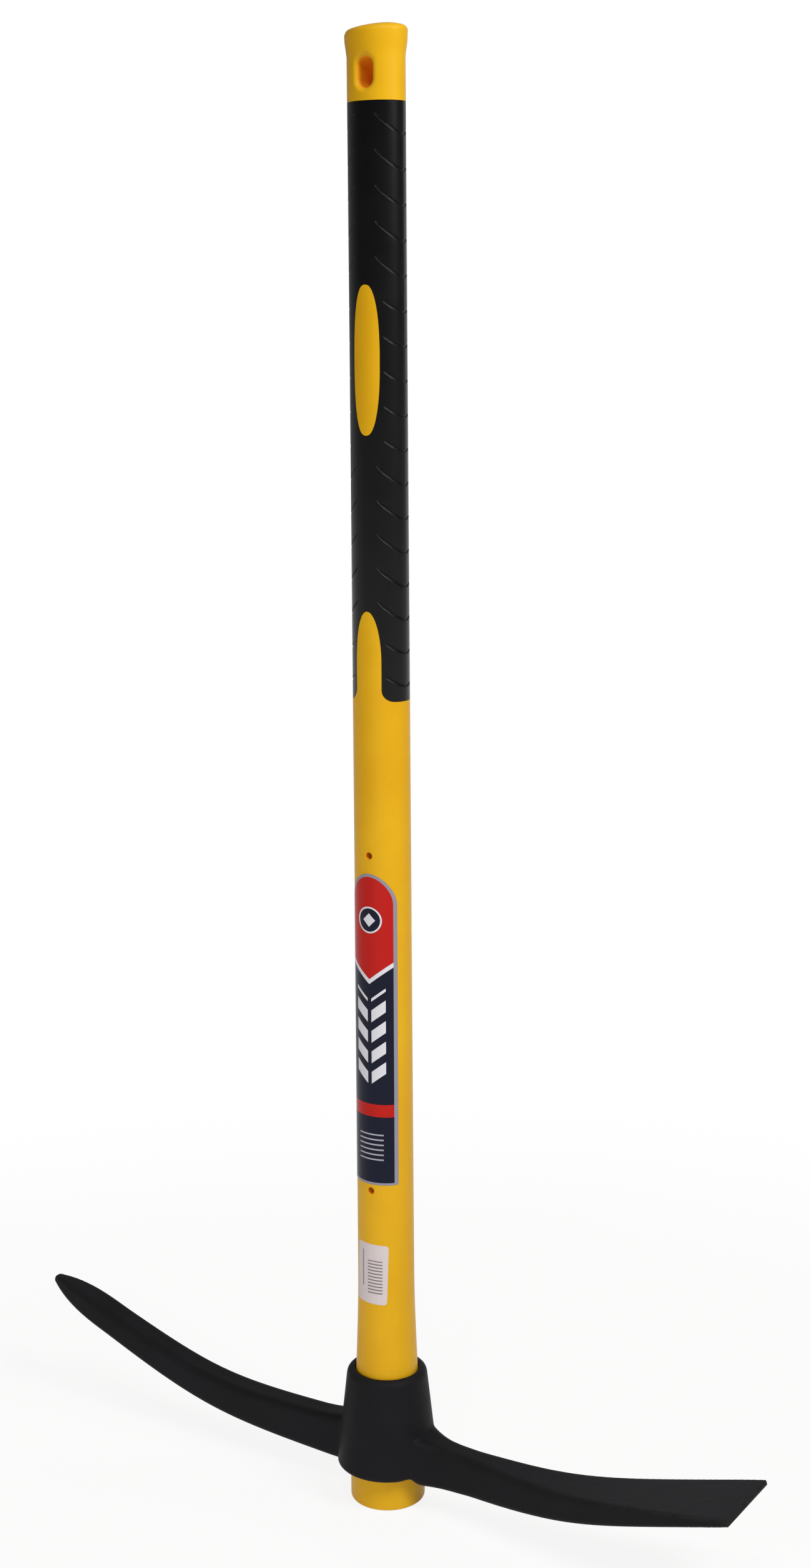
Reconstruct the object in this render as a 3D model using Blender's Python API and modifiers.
"""Pickaxe: a forged head with a point and a broad blade, on a 90 cm three-material handle.

The handle stands on its foot, with its axis on +Z and the origin at the centre of the foot's
flat end. The arms lie along X, the point towards -X and the blade towards +X. The broad faces
of the handle face -Y and +Y. Sizes are in metres.
"""

import math

import bpy
import bmesh
from mathutils import Matrix, Vector

# Handle: round at the foot, oval in the hand
HANDLE_LENGTH = 0.900
FOOT_RADIUS = 0.0235
FOOT_STRAIGHT = 0.020
FOOT_EDGE = 0.0006
NECK_HEIGHT = 0.100
NECK_RADIUS = 0.0190
SHAFT_HEIGHT = 0.150
SHAFT_HALF_WIDTH = 0.0178
SHAFT_HALF_DEPTH = 0.0173
GRIP_BASE_HALF_DEPTH = 0.0151
GRIP_TOP_HALF_DEPTH = 0.0135
CAP_LENGTH = 0.0430
CAP_RIM_HALF_WIDTH = 0.0191
CAP_RIM_HALF_DEPTH = 0.0146
CAP_RIM_DROP = 0.0070
CAP_WAIST_DROP = 0.0270
CAP_EDGE = 0.0035
CAP_CROWN = 0.0015
# The crown's rings: share of the cap's width, and share of the crown's height still to climb
CROWN_RINGS = ((0.70, 0.40), (0.35, 0.00))

# Hang slot through the cap
SLOT_HALF_WIDTH = 0.0056
SLOT_HALF_HEIGHT = 0.0083
SLOT_BELOW_TOP = 0.0275
SLOT_FLARE = 0.0025

# Glass-fibre core and the small holes left by the pins that held it in the mould
CORE_RADIUS = 0.0080
CORE_BELOW_SLOT = 0.0180
PIN_HOLE_RADIUS = 0.0021
PIN_HOLE_HEIGHTS = (0.211, 0.423)
PIN_HOLE_FLARE = 0.0007

# Grip: a soft sleeve with a window, a tongue-shaped notch and curved grooves
GRIP_LENGTH = 0.3405
GRIP_THICKNESS = 0.0020
WINDOW_HALF_LENGTH = 0.0420
WINDOW_HALF_WIDTH = 0.0088
WINDOW_BELOW_CAP = 0.1434
WINDOW_POWER = 2.3
TONGUE_LENGTH = 0.0526
TONGUE_HALF_WIDTH = 0.0097
TONGUE_NOSE = 0.0360
TONGUE_FOOT_FILLET = 0.0050
GROOVE_COUNT = 17
GROOVE_PITCH = 0.0196
GROOVE_FIRST_DROP = 0.0179
GROOVE_RADIUS = 0.0008
GROOVE_RISE = 0.0112
GROOVE_BOW = 1.7
GROOVE_START_ANGLE = 22.0
SHORT_GROOVE_RISE = 0.0062
SHORT_GROOVE_START_ANGLE = 37.0
SHORT_GROOVE_MARGIN = 0.0090

# Label and price sticker on the -Y face
LABEL_TOP = 0.4120
LABEL_BOTTOM = 0.2155
LABEL_HALF_WIDTH = 0.0153
LABEL_ROUND_HEIGHT = 0.0190
STICKER_CENTRE = 0.1565
STICKER_HALF_HEIGHT = 0.0196
STICKER_HALF_WIDTH = 0.0103
STICKER_TILT = -1.5
STICKER_CORNER = 0.0020
SKIN_THICKNESS = 0.0003

# Head: a tapered round eye that hangs on the flared foot
EYE_BOTTOM = 0.0235
EYE_HEIGHT = 0.0645
EYE_BOTTOM_RADIUS = 0.0321
EYE_TOP_RADIUS = 0.0250
EYE_BOTTOM_EDGE = 0.0015
EYE_LIP_OUTER_EDGE = 0.0040
EYE_LIP_INNER_EDGE = 0.0014
EYE_MOUTH_EDGE = 0.0010

# Arms: centre height at the eye, then each arm bends up towards the hand
ARM_HEIGHT = 0.0318
ARM_ROOT_DEPTH = 0.0045
ARM_ROOT_HALF_HEIGHT = 0.0145
ARM_SWELL = 0.0030
ARM_SWELL_LENGTH = 0.0250
ARM_CORNER_RADIUS = 0.0042
ARM_CORNER_SHARE = 0.40

POINT_REACH = 0.2750
POINT_BEND = 0.1390
POINT_BEND_LENGTH = 0.0233
POINT_RISE_ANGLE = 20.86
POINT_HALF_WIDTH = 0.0095
POINT_END_HALF_HEIGHT = 0.0082
POINT_TAPER = 0.0540
POINT_TIP_SHARE = 0.26
POINT_TIP_POWER = 3

BLADE_REACH = 0.2485
BLADE_BEND = 0.1310
BLADE_BEND_LENGTH = 0.0196
BLADE_RISE_ANGLE = 16.35
BLADE_NECK_HALF_WIDTH = 0.0085
BLADE_FLARE_START = 0.0650
BLADE_HALF_WIDTH = 0.0285
BLADE_BELLY = 0.0110
BLADE_BEVEL_LENGTH = 0.0100
BLADE_BEVEL_HALF_THICKNESS = 0.0025
BLADE_EDGE_HALF_THICKNESS = 0.0010

# Clearances
CLEARANCE = 0.0003
PASSING_CLEARANCE = 0.0004

# Resolution
HANDLE_SIDES = 36
EYE_SIDES = 48
PIN_HOLE_SIDES = 12
OUTLINE_STEPS = 8
EDGE_STEPS = 4
LABEL_STEPS = 14
GROOVE_STEPS = 10
BORE_STEPS = 6
ARM_STEPS = 14
TAPER_STEPS = 7
CORNER_STEPS = 5
FLARED_SPACING = 0.010
STRAIGHT_SPACING = 0.120
SHARP_ANGLE = 35.0

GRIP_TOP = HANDLE_LENGTH - CAP_LENGTH
GRIP_BASE = GRIP_TOP - GRIP_LENGTH
SLOT_HEIGHT = HANDLE_LENGTH - SLOT_BELOW_TOP
WINDOW_HEIGHT = GRIP_TOP - WINDOW_BELOW_CAP
CORE_TOP = SLOT_HEIGHT - SLOT_HALF_HEIGHT - CORE_BELOW_SLOT
EYE_TOP = EYE_BOTTOM + EYE_HEIGHT
THROUGH = 2 * FOOT_RADIUS

for old in list(bpy.data.objects):
    bpy.data.objects.remove(old, do_unlink=True)


def new_collection(name):
    """Make an empty collection in the scene."""
    collection = bpy.data.collections.new(name)
    bpy.context.scene.collection.children.link(collection)
    return collection


PARTS = new_collection("pickaxe")
CUTTERS = new_collection("cutters")


def new_material(name, colour, roughness, metallic=0.0):
    """Make a Principled material of one colour."""
    material = bpy.data.materials.new(name)
    material.use_nodes = True
    shader = material.node_tree.nodes["Principled BSDF"]
    shader.inputs["Base Color"].default_value = (*colour, 1.0)
    shader.inputs["Roughness"].default_value = roughness
    shader.inputs["Metallic"].default_value = metallic
    material.diffuse_color = (*colour, 1.0)
    return material


def finish_part(part, material, group, height):
    """Give a part its material, smooth shading, its origin on the axis and its group's empty."""
    part.data.materials.append(material)
    part.data.shade_smooth()
    part.data.set_sharp_from_angle(angle=math.radians(SHARP_ANGLE))
    origin = Vector((0.0, 0.0, height))
    part.data.transform(Matrix.Translation(-origin))
    part.parent = group
    part.location = origin - group.location


def new_group(name, height):
    """An empty on the handle's axis that carries the parts which move together."""
    group = bpy.data.objects.new(name, None)
    group.empty_display_size = FOOT_RADIUS
    group.location = (0.0, 0.0, height)
    PARTS.objects.link(group)
    return group


def object_from(name, shape, collection):
    """Turn a bmesh into an object whose faces point out."""
    bmesh.ops.recalc_face_normals(shape, faces=shape.faces)
    mesh = bpy.data.meshes.new(name)
    shape.to_mesh(mesh)
    shape.free()
    made = bpy.data.objects.new(name, mesh)
    collection.objects.link(made)
    if collection is CUTTERS:
        made.hide_render = True
        made.display_type = "WIRE"
    return made


def loft(name, rings, collection):
    """Skin a row of equal rings of points and close both ends."""
    shape = bmesh.new()
    rows = [[shape.verts.new(point) for point in ring] for ring in rings]
    sides = len(rows[0])
    for lower, upper in zip(rows, rows[1:]):
        for i in range(sides):
            j = (i + 1) % sides
            shape.faces.new((lower[i], lower[j], upper[j], upper[i]))
    shape.faces.new(rows[0])
    shape.faces.new(rows[-1])
    return object_from(name, shape, collection)


def boolean(part, other, operation="DIFFERENCE"):
    """Cut, join or cross a part with another object."""
    step = part.modifiers.new(operation.title() + " " + other.name, "BOOLEAN")
    step.object = other
    step.operation = operation
    step.solver = "EXACT"
    return step


def mix(start, end, share):
    """The value a share of the way from start to end."""
    return start + (end - start) * share


def arc(centre, radius, start, end, steps):
    """Points on an arc in a plane, from one angle in degrees to another."""
    points = []
    for i in range(steps + 1):
        angle = math.radians(mix(start, end, i / steps))
        points.append((centre[0] + radius * math.cos(angle), centre[1] + radius * math.sin(angle)))
    return points


def rounded_rectangle(half_width, half_height, corner, steps):
    """The outline of a rectangle about the middle, with an arc at each corner."""
    across = half_width - corner
    up = half_height - corner
    outline = []
    for turn, middle in enumerate(((across, up), (-across, up), (-across, -up), (across, -up))):
        outline += arc(middle, corner, 90 * turn, 90 * turn + 90, steps)
    return outline


def stations():
    """Height, half width and half depth of the handle where its form changes."""
    return [
        (0.0, FOOT_RADIUS, FOOT_RADIUS),
        (FOOT_STRAIGHT, FOOT_RADIUS, FOOT_RADIUS),
        (NECK_HEIGHT, NECK_RADIUS, NECK_RADIUS),
        (SHAFT_HEIGHT, SHAFT_HALF_WIDTH, SHAFT_HALF_DEPTH),
        (GRIP_BASE, SHAFT_HALF_WIDTH, GRIP_BASE_HALF_DEPTH),
        (GRIP_TOP, SHAFT_HALF_WIDTH, GRIP_TOP_HALF_DEPTH),
        (HANDLE_LENGTH - CAP_WAIST_DROP, SHAFT_HALF_WIDTH, GRIP_TOP_HALF_DEPTH),
        (HANDLE_LENGTH - CAP_RIM_DROP, CAP_RIM_HALF_WIDTH, CAP_RIM_HALF_DEPTH),
        (HANDLE_LENGTH, CAP_RIM_HALF_WIDTH, CAP_RIM_HALF_DEPTH),
    ]


def slope_at(rows, index, column):
    """Slope of a column of sizes at a station, level where the sizes turn or stay."""
    if index in (0, len(rows) - 1):
        return 0.0
    before = (rows[index][column] - rows[index - 1][column]) / (rows[index][0] - rows[index - 1][0])
    after = (rows[index + 1][column] - rows[index][column]) / (rows[index + 1][0] - rows[index][0])
    if before * after <= 0.0:
        return 0.0
    return 2.0 * before * after / (before + after)


def half_sizes(height):
    """Half width and half depth of the handle's outside at a height."""
    rows = stations()
    height = min(max(height, rows[0][0]), rows[-1][0])
    index = 0
    while height > rows[index + 1][0]:
        index += 1
    span = rows[index + 1][0] - rows[index][0]
    t = (height - rows[index][0]) / span
    sizes = []
    for column in (1, 2):
        start = rows[index][column]
        end = rows[index + 1][column]
        leave = slope_at(rows, index, column) * span
        arrive = slope_at(rows, index + 1, column) * span
        rise = t * t * (3.0 - 2.0 * t)
        sizes.append(start + (end - start) * rise
                     + leave * t * (1.0 - t) ** 2 - arrive * t * t * (1.0 - t))
    return sizes


def oval(height, offset=0.0):
    """Points round the handle, moved outwards by an offset, none of them on a symmetry plane."""
    half_width, half_depth = half_sizes(height)
    ring = []
    for i in range(HANDLE_SIDES):
        angle = 2.0 * math.pi * (i + 0.5) / HANDLE_SIDES
        ring.append(((half_width + offset) * math.cos(angle),
                     (half_depth + offset) * math.sin(angle), height))
    return ring


def ring_heights(low, high):
    """Heights for the rings between two ends, close together where the handle flares."""
    marks = {low, high}
    for start, end in zip(stations(), stations()[1:]):
        flared = abs(end[1] - start[1]) > PASSING_CLEARANCE
        gap = FLARED_SPACING if flared else STRAIGHT_SPACING
        count = max(1, math.ceil((end[0] - start[0]) / gap))
        marks.update(start[0] + (end[0] - start[0]) * i / count for i in range(count + 1))
    inner = sorted(mark for mark in marks if low + CLEARANCE < mark < high - CLEARANCE)
    return [low] + inner + [high]


def handle_form(name, low, high, offset, collection):
    """The handle's outside between two heights, moved outwards by an offset, with flat ends."""
    return loft(name, [oval(height, offset) for height in ring_heights(low, high)], collection)


def prism(name, outline, near, far, collection=CUTTERS):
    """A flat outline in X and Z, pushed through Y from near to far."""
    return loft(name, [[(x, y, z) for x, z in outline] for y in (near, far)], collection)


def window_outline(gap):
    """The long window in the grip, as a superellipse widened by a gap."""
    sides = 4 * OUTLINE_STEPS
    outline = []
    for i in range(sides):
        angle = 2.0 * math.pi * i / sides
        across = math.copysign(abs(math.cos(angle)) ** (2.0 / WINDOW_POWER), math.cos(angle))
        along = math.copysign(abs(math.sin(angle)) ** (2.0 / WINDOW_POWER), math.sin(angle))
        outline.append(((WINDOW_HALF_WIDTH + gap) * across,
                        WINDOW_HEIGHT + (WINDOW_HALF_LENGTH + gap) * along))
    return outline


def tongue_outline(gap):
    """The tongue of hard plastic that runs up into the grip, widened by a gap."""
    half_width = TONGUE_HALF_WIDTH + gap
    nose_base = GRIP_BASE + TONGUE_LENGTH - TONGUE_NOSE
    fillet = TONGUE_FOOT_FILLET - gap
    right = [(half_width + TONGUE_FOOT_FILLET, GRIP_BASE - THROUGH)]
    centre = (half_width + fillet, GRIP_BASE + fillet + gap)
    right += arc(centre, fillet, 270, 180, EDGE_STEPS)
    nose = []
    for i in range(OUTLINE_STEPS):
        angle = 0.5 * math.pi * i / OUTLINE_STEPS
        nose.append((half_width * math.cos(angle) ** (2.0 / WINDOW_POWER),
                     nose_base + (TONGUE_NOSE + gap) * math.sin(angle) ** (2.0 / WINDOW_POWER)))
    right += nose
    left = [(-x, z) for x, z in reversed(right)]
    return right + [(0.0, GRIP_BASE + TONGUE_LENGTH + gap)] + left


def slot_ring(depth, growth):
    """A round-ended slot in X and Z at one depth, made larger by a growth."""
    radius = SLOT_HALF_WIDTH + growth
    straight = SLOT_HALF_HEIGHT - SLOT_HALF_WIDTH
    top = arc((0.0, SLOT_HEIGHT + straight), radius, 0, 180, OUTLINE_STEPS)
    bottom = arc((0.0, SLOT_HEIGHT - straight), radius, 180, 360, OUTLINE_STEPS)
    return [(x, depth, z) for x, z in top + bottom]


def flare_steps(face, flare):
    """Depth and growth of a rounded edge that opens out to a face."""
    for i in range(EDGE_STEPS + 1):
        angle = 0.5 * math.pi * i / EDGE_STEPS
        yield face - flare + flare * math.sin(angle), flare * (1.0 - math.cos(angle))


def slot_cutter():
    """The hang slot with a rounded edge on both broad faces."""
    face = half_sizes(SLOT_HEIGHT)[1]
    side = list(flare_steps(face, SLOT_FLARE))
    side.append((face + SLOT_FLARE, SLOT_FLARE))
    rings = [slot_ring(-depth, growth) for depth, growth in reversed(side)]
    rings += [slot_ring(depth, growth) for depth, growth in side]
    return loft("slot cutter", rings, CUTTERS)


def pin_hole_cutter(height):
    """A small round hole through both broad faces, with a slightly opened mouth."""
    face = half_sizes(height)[1]
    side = [(face - PIN_HOLE_FLARE, 0.0), (face, PIN_HOLE_FLARE), (face + CLEARANCE, PIN_HOLE_FLARE)]
    sizes = [(-depth, growth) for depth, growth in reversed(side)] + side
    rings = []
    for depth, growth in sizes:
        circle = arc((0.0, height), PIN_HOLE_RADIUS + growth, 0, 360, PIN_HOLE_SIDES)
        rings.append([(x, depth, z) for x, z in circle[:-1]])
    return loft(f"pin hole cutter {height:.3f}", rings, CUTTERS)


def cylinder(name, radius, low, high, collection):
    """A round bar on the handle's axis."""
    shape = bmesh.new()
    bmesh.ops.create_cone(shape, cap_ends=True, segments=HANDLE_SIDES, radius1=radius,
                          radius2=radius, depth=high - low)
    bmesh.ops.translate(shape, verts=shape.verts, vec=(0.0, 0.0, 0.5 * (low + high)))
    return object_from(name, shape, collection)


def grip_seat():
    """The room that the grip takes out of the handle, with its clearance."""
    seat = handle_form("grip seat", GRIP_BASE - CLEARANCE, GRIP_TOP + CLEARANCE,
                       GRIP_THICKNESS, CUTTERS)
    inside = handle_form("under the grip", GRIP_BASE - THROUGH, GRIP_TOP + CAP_LENGTH,
                         -GRIP_THICKNESS - CLEARANCE, CUTTERS)
    boolean(seat, inside)
    boolean(seat, prism("raised window", window_outline(-CLEARANCE), -THROUGH, THROUGH))
    boolean(seat, prism("raised tongue", tongue_outline(-CLEARANCE), -THROUGH, THROUGH))
    return seat


def handle_body():
    """The hard plastic moulding: flared foot, shaft, window, tongue and end cap."""
    foot = arc((-FOOT_EDGE, FOOT_EDGE), FOOT_EDGE, -90, 0, EDGE_STEPS)
    rings = [oval(height, offset) for offset, height in foot[:-1]]
    shoulder = HANDLE_LENGTH - CAP_CROWN - CAP_EDGE
    rings += [oval(height) for height in ring_heights(FOOT_EDGE, shoulder)]
    for offset, height in arc((-CAP_EDGE, shoulder), CAP_EDGE, 0, 90, EDGE_STEPS)[1:]:
        rings.append([(px, py, height) for px, py, _ in oval(shoulder, offset)])
    for share, drop in CROWN_RINGS:
        crown = HANDLE_LENGTH - CAP_CROWN * drop
        rings.append([(share * px, share * py, crown) for px, py, _ in oval(shoulder, -CAP_EDGE)])
    body = loft("handle_body", rings, PARTS)
    boolean(body, grip_seat())
    boolean(body, slot_cutter())
    boolean(body, cylinder("core bore", CORE_RADIUS + CLEARANCE, -THROUGH,
                           CORE_TOP + CLEARANCE, CUTTERS))
    for height in PIN_HOLE_HEIGHTS:
        boolean(body, pin_hole_cutter(height))
    return body


def fibreglass_core():
    """The solid rod that stiffens the handle, flush with the foot's flat end."""
    return cylinder("fibreglass_core", CORE_RADIUS, 0.0, CORE_TOP, PARTS)


def is_short_groove(height):
    """Whether a groove would meet the window or the tongue if it were a long one."""
    half_rise = 0.5 * GROOVE_RISE
    beside_window = abs(height + half_rise - WINDOW_HEIGHT) < WINDOW_HALF_LENGTH + half_rise
    beside_tongue = height < GRIP_BASE + TONGUE_LENGTH - SHORT_GROOVE_MARGIN
    return beside_window or beside_tongue


def groove_points(height, side):
    """One groove's path: down the front, over the side at its lowest, and up the back."""
    short = is_short_groove(height)
    start = SHORT_GROOVE_START_ANGLE if short else GROOVE_START_ANGLE
    rise = SHORT_GROOVE_RISE if short else GROOVE_RISE
    points = []
    for i in range(GROOVE_STEPS + 1):
        angle = math.radians(start + (180.0 - 2.0 * start) * i / GROOVE_STEPS)
        share = abs(2.0 * i / GROOVE_STEPS - 1.0)
        level = height + rise * share ** GROOVE_BOW
        half_width, half_depth = half_sizes(level)
        points.append((side * half_width * math.sin(angle), -half_depth * math.cos(angle), level))
    return points


def groove_cutter():
    """All the grooves of the grip as tubes along their paths."""
    curve = bpy.data.curves.new("groove paths", "CURVE")
    curve.dimensions = "3D"
    curve.bevel_depth = GROOVE_RADIUS
    curve.bevel_resolution = 0
    curve.use_fill_caps = True
    for i in range(GROOVE_COUNT):
        height = GRIP_TOP - GROOVE_FIRST_DROP - i * GROOVE_PITCH
        for side in (-1, 1):
            points = groove_points(height, side)
            spline = curve.splines.new("POLY")
            spline.points.add(len(points) - 1)
            for knot, point in zip(spline.points, points):
                knot.co = (*point, 1.0)
    path = bpy.data.objects.new("groove paths", curve)
    CUTTERS.objects.link(path)
    evaluated = path.evaluated_get(bpy.context.evaluated_depsgraph_get())
    mesh = bpy.data.meshes.new_from_object(evaluated)
    shape = bmesh.new()
    shape.from_mesh(mesh)
    bmesh.ops.remove_doubles(shape, verts=shape.verts, dist=1e-6)
    bpy.data.objects.remove(path, do_unlink=True)
    return object_from("groove cutter", shape, CUTTERS)


def grip():
    """The soft sleeve, open at the window and the tongue."""
    sleeve = handle_form("grip", GRIP_BASE, GRIP_TOP, 0.0, PARTS)
    boolean(sleeve, handle_form("inside of the grip", GRIP_BASE - THROUGH, GRIP_TOP + CAP_LENGTH,
                                -GRIP_THICKNESS, CUTTERS))
    boolean(sleeve, prism("window opening", window_outline(0.0), -THROUGH, THROUGH))
    boolean(sleeve, prism("tongue opening", tongue_outline(0.0), -THROUGH, THROUGH))
    boolean(sleeve, groove_cutter())
    return sleeve


def skin(name, outline, low, high):
    """A thin piece of film that follows the handle's -Y face inside a flat outline."""
    film = prism(name, outline, -THROUGH, 0.0, PARTS)
    outer = handle_form(name + " outer face", low - THROUGH, high + THROUGH,
                        CLEARANCE + SKIN_THICKNESS, CUTTERS)
    inner = handle_form(name + " inner face", low - THROUGH, high + THROUGH, CLEARANCE, CUTTERS)
    boolean(film, outer, "INTERSECT")
    boolean(film, inner)
    return film


def main_label():
    """The tall label with a round top."""
    shoulder = LABEL_TOP - LABEL_ROUND_HEIGHT
    outline = [(-LABEL_HALF_WIDTH, LABEL_BOTTOM), (LABEL_HALF_WIDTH, LABEL_BOTTOM)]
    outline += [(LABEL_HALF_WIDTH * x, shoulder + LABEL_ROUND_HEIGHT * z)
                for x, z in arc((0.0, 0.0), 1.0, 0, 180, LABEL_STEPS)]
    return skin("main_label", outline, LABEL_BOTTOM, LABEL_TOP)


def price_sticker():
    """The small paper sticker, set a little askew, with rounded corners."""
    flat = rounded_rectangle(STICKER_HALF_WIDTH, STICKER_HALF_HEIGHT, STICKER_CORNER, EDGE_STEPS)
    tilt = math.radians(STICKER_TILT)
    outline = [(x * math.cos(tilt) - z * math.sin(tilt),
                STICKER_CENTRE + x * math.sin(tilt) + z * math.cos(tilt)) for x, z in flat]
    return skin("price_sticker", outline, STICKER_CENTRE - STICKER_HALF_HEIGHT,
                STICKER_CENTRE + STICKER_HALF_HEIGHT)


def bore_radius(height):
    """The eye's bore: close to the foot's flare, and wide enough to pass everything above it."""
    widest_above = max(half_sizes(mark)[0] for mark, _, _ in stations() if mark > EYE_TOP)
    return max(half_sizes(height)[0] + CLEARANCE, widest_above + PASSING_CLEARANCE)


def eye_ring():
    """The tapered wall round the eye, turned from its section."""
    lip_outer = (EYE_TOP_RADIUS - EYE_LIP_OUTER_EDGE, EYE_TOP - EYE_LIP_OUTER_EDGE)
    lip_inner = (bore_radius(EYE_TOP) + EYE_LIP_INNER_EDGE, EYE_TOP - EYE_LIP_INNER_EDGE)
    foot_outer = (EYE_BOTTOM_RADIUS - EYE_BOTTOM_EDGE, EYE_BOTTOM + EYE_BOTTOM_EDGE)
    foot_inner = (bore_radius(EYE_BOTTOM) + EYE_MOUTH_EDGE, EYE_BOTTOM + EYE_MOUTH_EDGE)
    lean = math.degrees(math.atan2(EYE_BOTTOM_RADIUS - EYE_TOP_RADIUS, EYE_HEIGHT))
    section = arc(lip_outer, EYE_LIP_OUTER_EDGE, 90, lean, EDGE_STEPS)
    section += arc(foot_outer, EYE_BOTTOM_EDGE, lean, -90, EDGE_STEPS)
    section += arc(foot_inner, EYE_MOUTH_EDGE, 270, 180, EDGE_STEPS)
    low = foot_inner[1]
    for i in range(1, BORE_STEPS):
        height = low + (lip_inner[1] - low) * i / BORE_STEPS
        section.append((bore_radius(height), height))
    section += arc(lip_inner, EYE_LIP_INNER_EDGE, 180, 90, EDGE_STEPS)
    shape = bmesh.new()
    points = [shape.verts.new((radius, 0.0, height)) for radius, height in section]
    for start, end in zip(points, points[1:] + points[:1]):
        shape.edges.new((start, end))
    mesh = bpy.data.meshes.new("pick_head")
    shape.to_mesh(mesh)
    shape.free()
    ring = bpy.data.objects.new("pick_head", mesh)
    PARTS.objects.link(ring)
    turned = ring.modifiers.new("Turn", "SCREW")
    turned.steps = EYE_SIDES
    turned.render_steps = EYE_SIDES
    turned.use_merge_vertices = True
    turned.merge_threshold = 1e-5
    turned.use_normal_calculate = True
    return ring


def arm_centre(reach, bend, bend_length, rise_angle):
    """Height of an arm's centre line, and its slope, at a distance from the handle's axis."""
    slope = math.tan(math.radians(rise_angle))
    stretch = (reach - bend) / bend_length
    height = ARM_HEIGHT + slope * bend_length * math.log(1.0 + math.exp(stretch))
    return height, slope / (1.0 + math.exp(-stretch))


def arm_section(side, reach, centre, half_width, half_height):
    """A rounded rectangle square to the arm's centre line, swelled on top beside the eye."""
    height, slope = centre
    near = max(1.0 - (reach - arm_root()) / ARM_SWELL_LENGTH, 0.0)
    swell = 0.5 * ARM_SWELL * near * near
    half_height += swell
    up = Vector((-side * slope, 0.0, 1.0)).normalized()
    middle = Vector((side * reach, 0.0, height + swell))
    corner = min(ARM_CORNER_RADIUS, ARM_CORNER_SHARE * half_height)
    outline = rounded_rectangle(half_width, half_height, corner, CORNER_STEPS)
    return [middle + Vector((0.0, across, 0.0)) + up * rise for across, rise in outline]


def arm_root():
    """Distance from the axis at which the arms start, inside the eye's wall."""
    return EYE_BOTTOM_RADIUS - ARM_ROOT_DEPTH


def point_arm():
    """The narrow arm, nearly square at its end and tapered to a blunt point."""
    root = arm_root()
    taper_start = POINT_REACH - POINT_TAPER
    marks = [root + (taper_start - root) * i / ARM_STEPS for i in range(ARM_STEPS)]
    marks += [taper_start + POINT_TAPER * math.sin(0.5 * math.pi * i / TAPER_STEPS)
              for i in range(TAPER_STEPS + 1)]
    rings = []
    for reach in marks:
        left = max((POINT_REACH - reach) / POINT_TAPER, 0.0)
        full = 1.0 - max(1.0 - left, 0.0) ** POINT_TIP_POWER
        size = mix(POINT_TIP_SHARE, 1.0, full)
        share = (min(reach, taper_start) - root) / (taper_start - root)
        half_height = mix(ARM_ROOT_HALF_HEIGHT, POINT_END_HALF_HEIGHT, share)
        centre = arm_centre(reach, POINT_BEND, POINT_BEND_LENGTH, POINT_RISE_ANGLE)
        rings.append(arm_section(-1, reach, centre, POINT_HALF_WIDTH * size, half_height * size))
    return loft("point arm", rings, CUTTERS)


def blade_belly(reach):
    """How far the blade arm's underside hangs below an even taper: most at a third of its length."""
    share = (reach - arm_root()) / (BLADE_REACH - arm_root())
    return BLADE_BELLY * share * (1.0 - share) ** 2


def blade_thickness(reach):
    """Half the blade arm's thickness: a long even taper, then the short bevel of the edge."""
    bevel_start = BLADE_REACH - BLADE_BEVEL_LENGTH
    if reach > bevel_start:
        share = (reach - bevel_start) / BLADE_BEVEL_LENGTH
        return mix(BLADE_BEVEL_HALF_THICKNESS, BLADE_EDGE_HALF_THICKNESS, share)
    share = (reach - arm_root()) / (bevel_start - arm_root())
    return mix(ARM_ROOT_HALF_HEIGHT, BLADE_BEVEL_HALF_THICKNESS, share)


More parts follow.
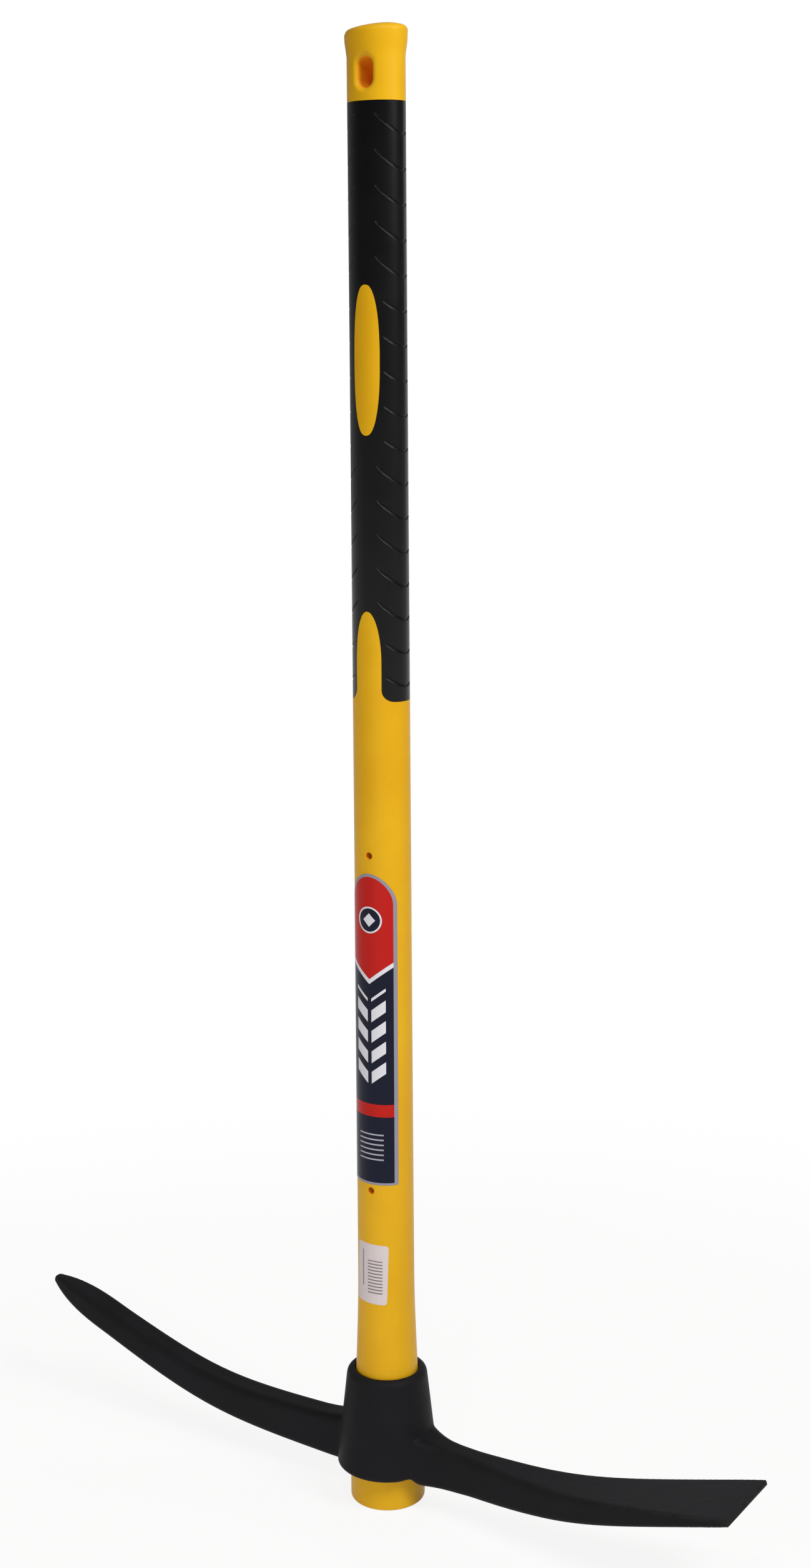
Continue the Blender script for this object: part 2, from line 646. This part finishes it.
def blade_arm():
    """The arm that turns from a tall bar into a wide thin blade."""
    root = arm_root()
    bevel_start = BLADE_REACH - BLADE_BEVEL_LENGTH
    steps = ARM_STEPS + TAPER_STEPS
    marks = [root + (bevel_start - root) * i / steps for i in range(steps + 1)] + [BLADE_REACH]
    rings = []
    for reach in marks:
        half_belly = 0.5 * blade_belly(reach)
        half_height = blade_thickness(reach) + half_belly
        spread = max(reach - BLADE_FLARE_START, 0.0) / (BLADE_REACH - BLADE_FLARE_START)
        half_width = mix(BLADE_NECK_HALF_WIDTH, BLADE_HALF_WIDTH, spread)
        height, slope = arm_centre(reach, BLADE_BEND, BLADE_BEND_LENGTH, BLADE_RISE_ANGLE)
        centre = (height - half_belly, slope)
        rings.append(arm_section(1, reach, centre, half_width, half_height))
    return loft("blade arm", rings, CUTTERS)


def pick_head():
    """The forging: the eye with both arms grown from its wall."""
    head = eye_ring()
    boolean(head, point_arm(), "UNION")
    boolean(head, blade_arm(), "UNION")
    return head


BLACK_COATING = new_material("black coated steel", (0.013, 0.013, 0.015), 0.45)
YELLOW_PLASTIC = new_material("yellow plastic", (0.70, 0.37, 0.02), 0.35)
BLACK_RUBBER = new_material("black soft plastic", (0.012, 0.012, 0.013), 0.55)
GLASS_FIBRE = new_material("glass fibre rod", (0.62, 0.55, 0.32), 0.50)
LABEL_FILM = new_material("printed film", (0.02, 0.03, 0.08), 0.30)
STICKER_PAPER = new_material("white paper", (0.80, 0.74, 0.74), 0.60)

HANDLE_GROUP = new_group("handle_group", 0.0)
HEAD_GROUP = new_group("head_slide", EYE_BOTTOM)

finish_part(handle_body(), YELLOW_PLASTIC, HANDLE_GROUP, 0.0)
finish_part(fibreglass_core(), GLASS_FIBRE, HANDLE_GROUP, 0.0)
finish_part(grip(), BLACK_RUBBER, HANDLE_GROUP, GRIP_BASE)
finish_part(main_label(), LABEL_FILM, HANDLE_GROUP, LABEL_BOTTOM)
finish_part(price_sticker(), STICKER_PAPER, HANDLE_GROUP, STICKER_CENTRE)
finish_part(pick_head(), BLACK_COATING, HEAD_GROUP, EYE_BOTTOM)
